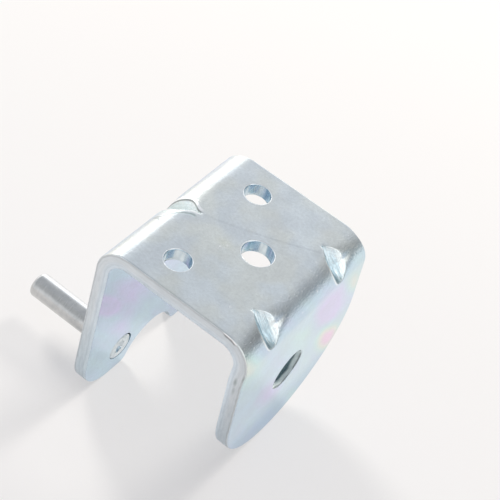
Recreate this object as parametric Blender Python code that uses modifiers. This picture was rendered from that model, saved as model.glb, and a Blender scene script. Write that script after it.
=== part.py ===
"""Fridge door hinge: a folded steel bracket with a riveted hinge pin.

The bracket is one sheet. Its blank is drawn flat, with its holes and broken edges, and is then
folded into a U: a web on top and two legs down. Three gussets are pressed into the bends. The left
leg has two feet with an arch between them, and carries the pin. The right leg has a round end and a
bore. The origin lies on the web's outer face, midway between the two small screw holes, with +X
from the pin's leg to the bored leg, +Y from the front edge to the rear, and +Z out of the web.
"""

import math

import bmesh
import bpy

MM = 0.001

# Sheet
WIDTH = 35.0 * MM
WEB_LENGTH = 39.5 * MM
HEIGHT = 45.0 * MM
LEG_REACH = 44.0 * MM
THICKNESS = 3.0 * MM
INNER_BEND_RADIUS = 3.5 * MM
EDGE_BREAK = 0.25 * MM

# Screw holes in the web
SMALL_HOLE_DIAMETER = 5.3 * MM
SMALL_HOLE_SPACING = 25.2 * MM
SMALL_HOLE_INSET = 12.3 * MM
LARGE_HOLE_DIAMETER = 6.3 * MM
LARGE_HOLE_INSET = 13.5 * MM

# Right leg
BORE_DIAMETER = 9.2 * MM
BORE_FROM_FRONT = 21.2 * MM
ROUND_END_RADIUS = 20.8 * MM
FRONT_LEAN_DEPTH = 10.0 * MM
REAR_SHOULDER_DEPTH = 2.5 * MM

# Left leg
FOOT_RADIUS = 9.0 * MM
ARCH_RADIUS = 8.0 * MM
ARCH_RISE = 6.5 * MM
ARCH_CORNER_RADIUS = 2.0 * MM

# Gussets: the side, the place from the front, and the reach from the corner on the web and the leg
LEFT, RIGHT = -1, 1
GUSSETS = (
    (RIGHT, 8.1 * MM, 6.6 * MM, 5.9 * MM),
    (RIGHT, 30.9 * MM, 6.6 * MM, 5.9 * MM),
    (LEFT, 19.7 * MM, 8.3 * MM, 6.6 * MM),
)
GUSSET_HALF_WIDTH = 2.3 * MM
GUSSET_ROUNDING = 0.35 * MM

# Hinge pin
PIN_DIAMETER = 5.5 * MM
PIN_REACH = 20.0 * MM
PIN_FROM_BOTTOM = 6.7 * MM
PIN_FROM_FRONT = 11.4 * MM
PIN_END_ROUNDING = 0.9 * MM
TENON_DIAMETER = 4.4 * MM
HEAD_DIAMETER = 6.3 * MM
HEAD_THICKNESS = 1.3 * MM
HEAD_CHAMFER = 0.25 * MM
PUNCH_MARK_DIAMETER = 2.4 * MM
PUNCH_MARK_DEPTH = 0.5 * MM
CLEARANCE = 0.3 * MM

# Mesh fineness
ARC_STEP = math.radians(7.5)
BEND_SEGMENTS = 10
GUSSET_ROWS = 10
PIN_SIDES = 40

# Derived sizes
OUTER_BEND_RADIUS = INNER_BEND_RADIUS + THICKNESS
NEUTRAL_RADIUS = INNER_BEND_RADIUS + THICKNESS / 2
BEND_LENGTH = NEUTRAL_RADIUS * math.pi / 2
WEB_HALF = WIDTH / 2 - OUTER_BEND_RADIUS
WEB_CENTRE_X = WIDTH / 2 - SMALL_HOLE_INSET
FRONT_Y = -WEB_LENGTH / 2
BORE_DEPTH = HEIGHT - ROUND_END_RADIUS
PIN_DEPTH = HEIGHT - PIN_FROM_BOTTOM
GUSSET_MARGIN = THICKNESS * 2 / 3


def clear_scene():
    """Removes every object that the file already holds."""
    for obj in list(bpy.data.objects):
        bpy.data.objects.remove(obj, do_unlink=True)


def new_collection(name):
    collection = bpy.data.collections.new(name)
    bpy.context.scene.collection.children.link(collection)
    return collection


def steel(name, colour, roughness):
    """A zinc-plated steel material."""
    material = bpy.data.materials.new(name)
    material.use_nodes = True
    shader = material.node_tree.nodes["Principled BSDF"]
    shader.inputs["Base Color"].default_value = (*colour, 1.0)
    shader.inputs["Metallic"].default_value = 1.0
    shader.inputs["Roughness"].default_value = roughness
    return material


def along_blank(depth):
    """Distance from the blank's middle to a place at that depth down a leg."""
    return WEB_HALF + BEND_LENGTH + depth - OUTER_BEND_RADIUS


def arc(centre, radius, start, end):
    """Points on an arc, from one angle to another, ends included."""
    count = max(2, math.ceil(abs(end - start) / ARC_STEP))
    angles = [start + (end - start) * i / count for i in range(count + 1)]
    return [(centre[0] + radius * math.cos(a), centre[1] + radius * math.sin(a)) for a in angles]


def wrapped_outline(discs):
    """Half an outline pulled tight round discs (u, v, radius), from facing -v round +u past +v."""

    def reach(disc, angle):
        return disc[0] * math.cos(angle) + disc[1] * math.sin(angle) + disc[2]

    start = -math.pi / 2
    end = math.pi * 3 / 4
    count = math.ceil((end - start) / ARC_STEP) * 2
    points = []
    for i in range(count + 1):
        angle = start + (end - start) * i / count
        u, v, radius = max(discs, key=lambda disc: reach(disc, angle))
        point = (u + radius * math.cos(angle), v + radius * math.sin(angle))
        if not points or math.dist(point, points[-1]) > EDGE_BREAK:
            points.append(point)
    return points


def right_leg_outline():
    """The bored leg's outline in the blank, from the front edge to the rear."""
    return wrapped_outline([
        (along_blank(FRONT_LEAN_DEPTH), 0.0, 0.0),
        (along_blank(BORE_DEPTH), LEG_REACH - ROUND_END_RADIUS, ROUND_END_RADIUS),
        (WEB_HALF + REAR_SHOULDER_DEPTH, WEB_LENGTH, 0.0),
    ])


def arch_outline():
    """The arch between the left leg's feet, from the front foot to the rear one."""
    bottom = along_blank(HEIGHT)
    middle = LEG_REACH / 2
    centre = (bottom + ARCH_RADIUS - ARCH_RISE, middle)
    reach = ARCH_RADIUS + ARCH_CORNER_RADIUS
    drop = centre[0] - (bottom - ARCH_CORNER_RADIUS)
    spread = math.sqrt(reach**2 - drop**2)
    turn = math.atan2(spread, drop)
    front_corner = (bottom - ARCH_CORNER_RADIUS, middle - spread)
    rear_corner = (bottom - ARCH_CORNER_RADIUS, middle + spread)
    return (
        arc(front_corner, ARCH_CORNER_RADIUS, 0.0, turn)
        + arc(centre, ARCH_RADIUS, math.pi + turn, math.pi - turn)[1:-1]
        + arc(rear_corner, ARCH_CORNER_RADIUS, -turn, 0.0)
    )


def left_leg_outline():
    """The pin leg's outline in the blank, from the front edge to the rear, as if folded to +u."""
    foot_u = along_blank(HEIGHT - FOOT_RADIUS)
    front = wrapped_outline([
        (WEB_HALF, 0.0, 0.0),
        (foot_u, FOOT_RADIUS, FOOT_RADIUS),
        (foot_u, LEG_REACH - FOOT_RADIUS, FOOT_RADIUS),
        (WEB_HALF + REAR_SHOULDER_DEPTH, WEB_LENGTH, 0.0),
    ])
    middle = LEG_REACH / 2
    before = [point for point in front if point[1] < middle]
    after = [point for point in front if point[1] > middle]
    return before + arch_outline() + after


def circle(centre, diameter):
    return arc(centre, diameter / 2, 0.0, math.tau)[:-1]


def add_loop(curve, points):
    spline = curve.splines.new("POLY")
    spline.points.add(len(points) - 1)
    for target, (u, v) in zip(spline.points, points):
        target.co = (u, v, 0.0, 1.0)
    spline.use_cyclic_u = True


def make_blank():
    """The flat sheet, with its outer face up: u runs across the bends and v along them."""
    curve = bpy.data.curves.new("blank", "CURVE")
    curve.dimensions = "2D"
    curve.fill_mode = "BOTH"
    curve.bevel_depth = EDGE_BREAK
    curve.bevel_resolution = 1
    curve.offset = -EDGE_BREAK
    curve.extrude = THICKNESS / 2 - EDGE_BREAK
    left = [(-u, v) for u, v in left_leg_outline()]
    add_loop(curve, right_leg_outline() + left[::-1])
    small_u = SMALL_HOLE_INSET - WIDTH / 2
    for shift in (-SMALL_HOLE_SPACING / 2, SMALL_HOLE_SPACING / 2):
        add_loop(curve, circle((small_u, WEB_LENGTH / 2 + shift), SMALL_HOLE_DIAMETER))
    large_u = WIDTH / 2 - LARGE_HOLE_INSET
    add_loop(curve, circle((large_u, WEB_LENGTH / 2), LARGE_HOLE_DIAMETER))
    add_loop(curve, circle((along_blank(BORE_DEPTH), BORE_FROM_FRONT), BORE_DIAMETER))
    flat = bpy.data.objects.new("blank", curve)
    bpy.context.scene.collection.objects.link(flat)
    depsgraph = bpy.context.evaluated_depsgraph_get()
    mesh = bpy.data.meshes.new_from_object(flat.evaluated_get(depsgraph))
    bpy.data.objects.remove(flat, do_unlink=True)
    blank = bmesh.new()
    blank.from_mesh(mesh)
    bpy.data.meshes.remove(mesh)
    bmesh.ops.remove_doubles(blank, verts=blank.verts, dist=0.001 * MM)
    bmesh.ops.dissolve_limit(
        blank, angle_limit=math.radians(0.5), verts=blank.verts, edges=blank.edges
    )
    return blank


def cut(blank, place, across, faces=None):
    """Draws a line over the blank at that place, across u or across v."""
    faces = list(blank.faces) if faces is None else faces
    edges = list({edge for face in faces for edge in face.edges})
    verts = list({vert for face in faces for vert in face.verts})
    point = (place, 0.0, 0.0) if across == "u" else (0.0, place, 0.0)
    normal = (1.0, 0.0, 0.0) if across == "u" else (0.0, 1.0, 0.0)
    bmesh.ops.bisect_plane(
        blank, geom=verts + edges + faces, dist=0.0005 * MM, plane_co=point, plane_no=normal
    )


def cut_bend_lines(blank):
    """Lines along both bends, close enough together to turn them into smooth arcs."""
    places = [WEB_HALF + BEND_LENGTH * i / BEND_SEGMENTS for i in range(BEND_SEGMENTS + 1)]
    places += [WEB_HALF - GUSSET_MARGIN / 2, WEB_HALF - GUSSET_MARGIN]
    places += [WEB_HALF + BEND_LENGTH + GUSSET_MARGIN / 2, WEB_HALF + BEND_LENGTH + GUSSET_MARGIN]
    for side in (LEFT, RIGHT):
        for place in places:
            cut(blank, side * place, "u")


def cut_gusset_lines(blank, side, middle):
    """Lines across one bend where a gusset is pressed into it."""
    for i in range(GUSSET_ROWS + 1):
        faces = []
        for face in blank.faces:
            u = face.calc_center_bounds().x * side
            if WEB_HALF - GUSSET_MARGIN < u < WEB_HALF + BEND_LENGTH + GUSSET_MARGIN:
                faces.append(face)
        cut(blank, middle + GUSSET_HALF_WIDTH * (2 * i / GUSSET_ROWS - 1), "v", faces)


def line_depth(distance, web_arm, leg_arm):
    """How deep a gusset's straight bottom line lies under the outer face at that place."""
    x, z = profile_point(distance, 0.0)
    share = 1 - (WIDTH / 2 - x) / web_arm + z / leg_arm
    return share * web_arm * leg_arm / math.hypot(web_arm, leg_arm)


def press(side, distance, v):
    """Where a gusset moves a place on the blank: its new v, and its moves along x and z."""
    for gusset_side, middle, web_arm, leg_arm in GUSSETS:
        across = (v - middle) / GUSSET_HALF_WIDTH
        if gusset_side != side or abs(across) > 1.001:
            continue
        deepest = line_depth(WEB_HALF + BEND_LENGTH / 2, web_arm, leg_arm)
        share = max(line_depth(distance, web_arm, leg_arm) / deepest, 0.0)
        half = GUSSET_HALF_WIDTH * max(share, 0.2)
        aside = math.hypot(across * half, GUSSET_ROUNDING) - GUSSET_ROUNDING
        edge = math.hypot(half, GUSSET_ROUNDING) - GUSSET_ROUNDING
        depth = deepest * share * max(0.0, 1 - aside / edge)
        arms = math.hypot(web_arm, leg_arm)
        return middle + across * half, -depth * leg_arm / arms, -depth * web_arm / arms
    return v, 0.0, 0.0


def profile_point(distance, inset):
    """A point of the U at that distance along the blank, that deep under its outer face."""
    if distance <= WEB_HALF:
        return distance, -inset
    if distance < WEB_HALF + BEND_LENGTH:
        angle = (distance - WEB_HALF) / NEUTRAL_RADIUS
        radius = OUTER_BEND_RADIUS - inset
        return WEB_HALF + radius * math.sin(angle), radius * math.cos(angle) - OUTER_BEND_RADIUS
    return WIDTH / 2 - inset, WEB_HALF + BEND_LENGTH - OUTER_BEND_RADIUS - distance


def fold(blank):
    """Bends the flat sheet into the U, and presses its gussets in."""
    zone_start = WEB_HALF - GUSSET_MARGIN * 1.01
    zone_end = WEB_HALF + BEND_LENGTH + GUSSET_MARGIN * 1.01
    for vert in blank.verts:
        u, v, height = vert.co
        side = RIGHT if u > 0 else LEFT
        x, z = profile_point(abs(u), THICKNESS / 2 - height)
        if zone_start < abs(u) < zone_end:
            v, move_x, move_z = press(side, abs(u), v)
            x += move_x
            z += move_z
        vert.co = (WEB_CENTRE_X + side * x, FRONT_Y + v, z)


def finish_mesh(name, solid, collection, material):
    """Turns a bmesh into a shaded object."""
    bmesh.ops.recalc_face_normals(solid, faces=solid.faces)
    mesh = bpy.data.meshes.new(name)
    solid.to_mesh(mesh)
    solid.free()
    mesh.shade_smooth()
    mesh.set_sharp_from_angle(angle=math.radians(22))
    mesh.materials.append(material)
    obj = bpy.data.objects.new(name, mesh)
    collection.objects.link(obj)
    return obj


def turned(name, profile, collection):
    """A solid turned about X: profile holds (x, radius) from one end to the other."""
    mesh = bpy.data.meshes.new(name)
    edges = [(i, i + 1) for i in range(len(profile) - 1)]
    mesh.from_pydata([(radius, 0.0, -x) for x, radius in profile], edges, [])
    obj = bpy.data.objects.new(name, mesh)
    collection.objects.link(obj)
    screw = obj.modifiers.new("Turn", "SCREW")
    screw.steps = PIN_SIDES
    screw.render_steps = PIN_SIDES
    screw.use_merge_vertices = True
    screw.merge_threshold = 0.001 * MM
    screw.use_smooth_shade = True
    obj.rotation_euler = (0.0, -math.pi / 2, 0.0)
    obj.location = (
        WEB_CENTRE_X - WIDTH / 2,
        FRONT_Y + PIN_FROM_FRONT,
        -PIN_DEPTH,
    )
    return obj


def make_pin_seat(collection):
    """The cutter for the pin's hole: the tenon's bore and the head's counterbore."""
    tenon = TENON_DIAMETER / 2 + CLEARANCE
    head = HEAD_DIAMETER / 2 + CLEARANCE
    floor = THICKNESS - HEAD_THICKNESS - CLEARANCE
    beyond = THICKNESS
    seat = turned("pin_seat", [
        (-beyond, 0.0),
        (-beyond, tenon),
        (floor, tenon),
        (floor, head),
        (THICKNESS + beyond, head),
        (THICKNESS + beyond, 0.0),
    ], collection)
    seat.modifiers["Turn"].use_smooth_shade = False
    seat.hide_render = True
    seat.display_type = "WIRE"
    return seat


def make_pin(collection, material):
    """The hinge pin: a rounded free end, a shank, a tenon through the leg and a head set flush."""
    shank = PIN_DIAMETER / 2
    tenon = TENON_DIAMETER / 2
    head = HEAD_DIAMETER / 2
    end_centre = (-PIN_REACH + PIN_END_ROUNDING, shank - PIN_END_ROUNDING)
    end = arc(end_centre, PIN_END_ROUNDING, math.pi, math.pi / 2)
    pin = turned("hinge_pin", [
        (-PIN_REACH, 0.0),
        *end,
        (-CLEARANCE, shank),
        (-CLEARANCE, tenon),
        (THICKNESS - HEAD_THICKNESS, tenon),
        (THICKNESS - HEAD_THICKNESS, head),
        (THICKNESS - HEAD_CHAMFER, head),
        (THICKNESS, head - HEAD_CHAMFER),
        (THICKNESS, PUNCH_MARK_DIAMETER / 2),
        (THICKNESS - PUNCH_MARK_DEPTH, 0.0),
    ], collection)
    pin.data.materials.append(material)
    return pin


def make_bracket(collection, material, pin_seat):
    """The folded bracket, with the pin's seat cut in its left leg."""
    blank = make_blank()
    cut_bend_lines(blank)
    for side, middle, *_ in GUSSETS:
        cut_gusset_lines(blank, side, middle)
    bmesh.ops.triangulate(blank, faces=blank.faces)
    fold(blank)
    bracket = finish_mesh("bracket", blank, collection, material)
    seat = bracket.modifiers.new("Pin seat", "BOOLEAN")
    seat.operation = "DIFFERENCE"
    seat.object = pin_seat
    return bracket


def main():
    clear_scene()
    parts = new_collection("fridge_door_hinge")
    cutters = new_collection("cutters")
    zinc = steel("zinc_plated_sheet", (0.60, 0.64, 0.67), 0.32)
    turned_steel = steel("turned_pin_steel", (0.50, 0.51, 0.51), 0.28)
    pin_seat = make_pin_seat(cutters)
    make_bracket(parts, zinc, pin_seat)
    make_pin(parts, turned_steel)


main()
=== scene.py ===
"""The looks of a fridge door hinge: a zinc-plated folded bracket and its turned hinge pin.

The sheet is cut flat, with rolled and sheared edges, and is then folded and its gussets are
pressed in, as the real one is made. All sizes are in metres, in the frame of the solids.
"""

import math

import bmesh
import bpy
from mathutils import Matrix, Vector, noise

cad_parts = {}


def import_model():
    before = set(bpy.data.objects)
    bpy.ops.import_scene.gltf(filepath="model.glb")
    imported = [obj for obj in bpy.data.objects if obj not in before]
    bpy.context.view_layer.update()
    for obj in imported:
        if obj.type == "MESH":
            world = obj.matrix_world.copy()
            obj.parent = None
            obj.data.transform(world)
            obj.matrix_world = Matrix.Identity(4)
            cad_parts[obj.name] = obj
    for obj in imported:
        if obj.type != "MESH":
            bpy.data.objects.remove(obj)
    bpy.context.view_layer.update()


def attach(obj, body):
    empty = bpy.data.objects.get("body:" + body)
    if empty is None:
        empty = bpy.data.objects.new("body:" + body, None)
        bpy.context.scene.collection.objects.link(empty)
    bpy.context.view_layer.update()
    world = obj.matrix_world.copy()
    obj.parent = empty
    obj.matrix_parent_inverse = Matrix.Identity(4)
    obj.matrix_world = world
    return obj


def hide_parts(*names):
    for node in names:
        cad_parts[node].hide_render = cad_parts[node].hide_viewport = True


MM = 0.001

# Sheet
WIDTH = 35.0 * MM
WEB_LENGTH = 39.5 * MM
HEIGHT = 45.0 * MM
LEG_REACH = 44.0 * MM
THICKNESS = 3.0 * MM
INNER_BEND_RADIUS = 3.5 * MM

# Screw holes in the web, across their rims
SMALL_HOLE_DIAMETER = 5.3 * MM
SMALL_HOLE_SPACING = 25.2 * MM
SMALL_HOLE_INSET = 12.3 * MM
LARGE_HOLE_DIAMETER = 6.3 * MM
LARGE_HOLE_INSET = 13.5 * MM

# Right leg
BORE_DIAMETER = 9.2 * MM
BORE_FROM_FRONT = 21.2 * MM
ROUND_END_RADIUS = 20.8 * MM
FRONT_LEAN_DEPTH = 10.0 * MM
REAR_SHOULDER_DEPTH = 2.5 * MM

# Left leg
FOOT_RADIUS = 9.0 * MM
ARCH_RADIUS = 8.0 * MM
ARCH_RISE = 6.5 * MM
ARCH_CORNER_RADIUS = 2.0 * MM

# Gussets: the side, the place from the front, and the reach from the corner on the web and the leg
LEFT = -1
RIGHT = 1
GUSSETS = (
    (RIGHT, 8.1 * MM, 6.6 * MM, 5.9 * MM),
    (RIGHT, 30.9 * MM, 6.6 * MM, 5.9 * MM),
    (LEFT, 19.7 * MM, 8.3 * MM, 6.6 * MM),
)
GUSSET_HALF_WIDTH = 2.3 * MM
GUSSET_ROUNDING = 0.15 * MM
GUSSET_LIP = 0.10 * MM
GUSSET_LEAN = 0.35 * MM

# How far the gussets' lines reach past the bend, over what length they ease into the flat sheet, and
# how deep a groove has to be to show its own colour in full
GUSSET_MARGIN = 3.0 * MM
EASE_LENGTH = 1.2 * MM
PRESSED_DEPTH = 0.4 * MM

# A groove's narrowing towards its ends, as a power on the web and on the leg, the least share of
# its width that is left there, and how much fuller its bottom line is on the leg
TAPER_ON_WEB = 1.7
TAPER_ON_LEG = 0.5
TIP_WIDTH = 0.12
FULLER_ON_LEG = 0.6

# How fast the lip and the rim's lines set in from the groove's ends
LIP_ONSET = 5
RIM_ONSET = 4

# The sheet beside a gusset is drawn in with it: (depth, width) to the front and to the rear. The
# rear depth at a right gusset grows from the web on, and is full at that share of the bend.
DRAW_IN = ((0.10 * MM, 1.4 * MM), (0.62 * MM, 3.2 * MM))
DRAW_IN_POWER = 1.5
REAR_DRAW_IN_FULL = 0.55
REAR_DRAW_IN_POWER = 1.6

# Crease that the press leaves along the right bend, to the rear of each gusset
CREASE_DEPTH = 0.16 * MM
CREASE_WIDTH = 0.45 * MM
CREASE_REACH = 2.4 * MM
CREASE_LENGTH = 4.5 * MM
CREASE_FADE = 1.5 * MM
CREASE_ONSET = 4
CREASE_START = math.radians(47)
CREASE_END = math.radians(43)

# Hinge pin. Its head sits a little to the front of the shank's middle, and lower.
PIN_DIAMETER = 5.5 * MM
PIN_REACH = 20.0 * MM
PIN_FROM_BOTTOM = 6.7 * MM
PIN_FROM_FRONT = 11.4 * MM
PIN_END_ROUNDING = 0.9 * MM
PIN_END_RINGS = (0.9 * MM, 1.4 * MM)
TENON_DIAMETER = 4.4 * MM
HEAD_DIAMETER = 6.3 * MM
HEAD_THICKNESS = 1.3 * MM
HEAD_SHIFT = 0.11 * MM
SEAT_CLEARANCE = 0.15 * MM
SHOULDER_GAP = 0.03 * MM
SHOULDER_BEVEL = (0.20 * MM, 0.15 * MM)
HEAD_BEVEL = 0.3 * MM

# Punch mark in the pin's head
PUNCH_RADIUS = 1.25 * MM
PUNCH_RAGGEDNESS = 0.45 * MM
PUNCH_DEPTH = 0.6 * MM
PUNCH_RIM_HEIGHT = 0.05 * MM
PUNCH_RIM_WIDTH = 0.35 * MM
PUNCH_GRAIN = 0.04 * MM

# Edges: the roll at the outer face, the tear as shares of the thickness, and the burr
ROLL_WIDTH = 0.32 * MM
ROLL_DEPTH = 0.4 * MM
HOLE_ROLL = 0.24 * MM
HOLE_ROLL_DEPTH = HOLE_ROLL * 1.2
SHEAR_END = 0.60
TEAR_START = 0.68
TEAR_INSET = 0.02 * MM
OUTLINE_BURR = 0.12 * MM
HOLE_BURR = 0.08 * MM
SEAT_BEVEL = 0.12 * MM

# The loops, by number, that are holes in the web, and the rings of an edge's profile that still
# count as face before and after its wall
WEB_HOLES = (1, 2, 3)
FACE_RINGS_OUTSIDE = 4
FACE_RINGS_INSIDE = 3

# The sheet's materials, by their place in its list
FACE_MATERIAL = 0
EDGE_MATERIAL = 1
HOLE_MATERIAL = 2

# Mesh fineness
ARC_STEP = math.radians(3.5)
SHORTEST_SIDE = 0.15 * MM
EDGE_STRIP = 0.12 * MM
SUPPORT_REACH = 0.35 * MM
CUT_TOLERANCE = 0.0005 * MM
BEND_SEGMENTS = 30
BESIDE_BEND = (0.05, 0.15, 0.27, 0.40, 0.54, 0.69, 0.84, 1.0)
GUSSET_ROWS = (0.0, 0.08, 0.18, 0.32, 0.48, 0.64, 0.78, 0.88, 0.95, 1.0, 1.06, 1.14, 1.26, 1.42,
               1.62, 1.86, 2.2, 2.6)

# Derived sizes
OUTER_BEND_RADIUS = INNER_BEND_RADIUS + THICKNESS
NEUTRAL_RADIUS = INNER_BEND_RADIUS + THICKNESS / 2
BEND_LENGTH = NEUTRAL_RADIUS * math.pi / 2
WEB_HALF = WIDTH / 2 - OUTER_BEND_RADIUS
WEB_CENTRE_X = WIDTH / 2 - SMALL_HOLE_INSET
FRONT_Y = -WEB_LENGTH / 2
BORE_DEPTH = HEIGHT - ROUND_END_RADIUS
PIN_DEPTH = HEIGHT - PIN_FROM_BOTTOM

# Ways that the materials measure along
UPWARD = (0.0, 0.0, 1.0)
RIGHTWARD = (1.0, 0.0, 0.0)

# The plating's thin film: colours by thickness, the way that it runs down the legs, how thick it is
# and how much that drifts, and where it is thicker or thinner: a place in millimetres, how far along
# and across that way, and the change
FILM_COLOURS = (
    (0.05, (0.57, 0.71, 0.84)),
    (0.16, (0.69, 0.67, 0.91)),
    (0.29, (0.71, 0.67, 0.93)),
    (0.41, (0.61, 0.76, 0.88)),
    (0.51, (0.63, 0.83, 0.83)),
    (0.61, (0.79, 0.83, 0.75)),
    (0.73, (0.92, 0.66, 0.85)),
)
FILM_SLANT = math.radians(40)
FILM_THICKNESS = 0.30
FILM_DRIFT = 0.22
FILM_PATCHES = (
    ((22.7, 18.4, -29.1), (5.0, 15.0), 0.38),
    ((22.7, 3.0, -15.0), (6.5, 20.0), 0.08),
    ((22.7, 13.0, -14.5), (7.5, 17.0), -0.17),
    ((22.0, -18.5, -6.0), (5.0, 14.0), 0.16),
    ((22.7, -3.4, -27.0), (4.5, 14.0), -0.15),
    ((22.7, 19.6, -11.9), (3.4, 13.0), 0.17),
    ((22.7, 12.0, -43.0), (3.0, 12.0), 0.12),
    ((-9.3, -8.5, -21.0), (6.5, 15.0), -0.14),
    ((-9.3, -10.0, -29.9), (4.5, 10.0), -0.08),
    ((-9.3, -18.0, -17.0), (3.0, 12.0), -0.24),
)
FILM_PATCH_DEPTH = 8.0

# Marks in millimetres, each with its centre and its radii: a spot of painted darker reflection in
# the right bend, a stain and bright specks on the web, and stains and a painted glint on the front
# edge
DARK_REFLECTION_SPOT = ((19.8, -15.0, -1.4), (3.2, 6.5, 2.5))
SMUDGE = ((3.4, -2.7, 0.0), (3.0, 1.8, 2.0))
BRIGHT_SPECKS = ((4.0, -2.8, 0.0), (13.3, -14.2, 0.0), (3.2, -4.0, 0.0))
SPECK_RADII = (0.35, 0.35, 1.0)
EDGE_STAINS = (
    ((21.2, -19.75, -9.6), (0.6, 1.0, 1.8)),
    ((21.3, -19.75, -12.8), (0.5, 1.0, 2.4)),
    ((22.5, -19.75, -7.6), (0.4, 1.0, 1.3)),
)
EDGE_GLINT_SPOT = ((17.7, -19.75, -0.3), (2.3, 2.0, 1.6))

# Where parts of the bracket and the pin begin, as x in millimetres, and the side of the pin that
# gets a painted highlight
RIGHT_HALF_X = 5.0
BORE_WALL_X = 17.0
PIN_HEAD_X = -10.6
HIGHLIGHT_SIDE = (0.0, 0.82, 0.58)

# A faint crease across the web: y = (bow * x + slope) * x + start, in millimetres
WEB_CREASE_BOW = 0.006
WEB_CREASE_SLOPE = 0.36
WEB_CREASE_START = 1.55

# Depths of the surfaces' relief
GRAIN_RELIEF = 0.006 * MM
RIPPLE_RELIEF = 0.015 * MM
SCUFF_RELIEF = 0.07 * MM
STREAK_RELIEF = 0.4 * MM
WEB_CREASE_RELIEF = 0.03 * MM
HOLE_LINE_RELIEF = 0.03 * MM
EDGE_RELIEF = 0.02 * MM
PIN_GRAIN_RELIEF = 0.01 * MM
PIN_RING_RELIEF = 0.03 * MM

# Floor: its reach, its gap under the feet, and the level way and stretch over which it turns paler
FLOOR_REACH = 3.0
FLOOR_GAP = 0.02 * MM
FLOOR_AWAY = (-0.379, 0.925, 0.0)
FLOOR_CHANGE = (-0.06, 0.17)

# What the metal shows round it: azimuth, elevation, inner and outer radius in degrees, and colour
SURROUNDINGS = (
    (52.0, 6.0, 10.0, 48.0, (0.34, 0.36, 0.38, 1.0)),
    (-158.0, 46.0, 8.0, 30.0, (0.52, 0.54, 0.56, 1.0)),
    (95.0, 30.0, 10.0, 27.0, (1.5, 1.53, 1.54, 1.0)),
    (-10.0, 26.0, 5.0, 15.0, (1.7, 1.72, 1.72, 1.0)),
    (-52.0, -2.0, 25.0, 33.0, (1.8, 1.83, 1.83, 1.0)),
)

# Lamps: name, azimuth, elevation and width in degrees, and the floor's share of light
LAMPS = (
    ("left_window", -61.0, 22.0, 16.0, 0.26),
    ("rear_window", 5.0, 30.0, 12.0, 0.22),
    ("low_window", 12.0, 11.0, 12.0, 0.10),
)
LAMP_DISTANCE = 1.6
LAMP_COLOUR = (1.0, 0.965, 0.90)


def along_blank(depth):
    """Distance from the blank's middle to a place at that depth down a leg."""
    return WEB_HALF + BEND_LENGTH + depth - OUTER_BEND_RADIUS


def arc(centre, radius, start, end):
    """Points on an arc, from one angle to another, ends included."""
    count = max(2, math.ceil(abs(end - start) / ARC_STEP))
    angles = [start + (end - start) * i / count for i in range(count + 1)]
    return [(centre[0] + radius * math.cos(a), centre[1] + radius * math.sin(a)) for a in angles]


def circle(centre, diameter):
    """A hole's loop, which runs clockwise, with the metal on its left."""
    return arc(centre, diameter / 2, math.tau, 0.0)[:-1]


def wrapped_outline(discs):
    """Half an outline pulled tight round discs (u, v, radius), from facing -v round +u past +v."""

    def reach(disc, angle):
        return disc[0] * math.cos(angle) + disc[1] * math.sin(angle) + disc[2]

    start = -math.pi / 2
    end = math.pi * 3 / 4
    count = math.ceil((end - start) / ARC_STEP) * 2
    points = []
    for i in range(count + 1):
        angle = start + (end - start) * i / count
        u, v, radius = max(discs, key=lambda disc: reach(disc, angle))
        point = (u + radius * math.cos(angle), v + radius * math.sin(angle))
        if not points or math.dist(point, points[-1]) > SHORTEST_SIDE:
            points.append(point)
    return points


def right_leg_outline():
    """The bored leg's outline in the blank, from the front edge to the rear."""
    return wrapped_outline([
        (along_blank(FRONT_LEAN_DEPTH), 0.0, 0.0),
        (along_blank(BORE_DEPTH), LEG_REACH - ROUND_END_RADIUS, ROUND_END_RADIUS),
        (WEB_HALF + REAR_SHOULDER_DEPTH, WEB_LENGTH, 0.0),
    ])


def arch_outline():
    """The arch between the left leg's feet, from the front foot to the rear one."""
    bottom = along_blank(HEIGHT)
    middle = LEG_REACH / 2
    centre = (bottom + ARCH_RADIUS - ARCH_RISE, middle)
    reach = ARCH_RADIUS + ARCH_CORNER_RADIUS
    drop = centre[0] - (bottom - ARCH_CORNER_RADIUS)
    spread = math.sqrt(reach**2 - drop**2)
    turn = math.atan2(spread, drop)
    front_corner = (bottom - ARCH_CORNER_RADIUS, middle - spread)
    rear_corner = (bottom - ARCH_CORNER_RADIUS, middle + spread)
    return (
        arc(front_corner, ARCH_CORNER_RADIUS, 0.0, turn)
        + arc(centre, ARCH_RADIUS, math.pi + turn, math.pi - turn)[1:-1]
        + arc(rear_corner, ARCH_CORNER_RADIUS, -turn, 0.0)
    )


def left_leg_outline():
    """The pin leg's outline in the blank, from the front edge to the rear, as if folded to +u."""
    foot_u = along_blank(HEIGHT - FOOT_RADIUS)
    whole = wrapped_outline([
        (WEB_HALF, 0.0, 0.0),
        (foot_u, FOOT_RADIUS, FOOT_RADIUS),
        (foot_u, LEG_REACH - FOOT_RADIUS, FOOT_RADIUS),
        (WEB_HALF + REAR_SHOULDER_DEPTH, WEB_LENGTH, 0.0),
    ])
    middle = LEG_REACH / 2
    before = [point for point in whole if point[1] < middle]
    after = [point for point in whole if point[1] > middle]
    return before + arch_outline() + after


def offset_loop(points, distance):
    """The loop moved into the metal on its left by that distance."""
    moved = []
    for i, point in enumerate(points):
        before = Vector(point) - Vector(points[i - 1])
        after = Vector(points[(i + 1) % len(points)]) - Vector(point)
        before.normalize()
        after.normalize()
        normal = Vector((-before.y - after.y, before.x + after.x))
        normal.normalize()
        straight = Vector((-before.y, before.x)).dot(normal)
        moved.append(Vector(point) + normal * distance / max(straight, 0.5))
    return moved


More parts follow.
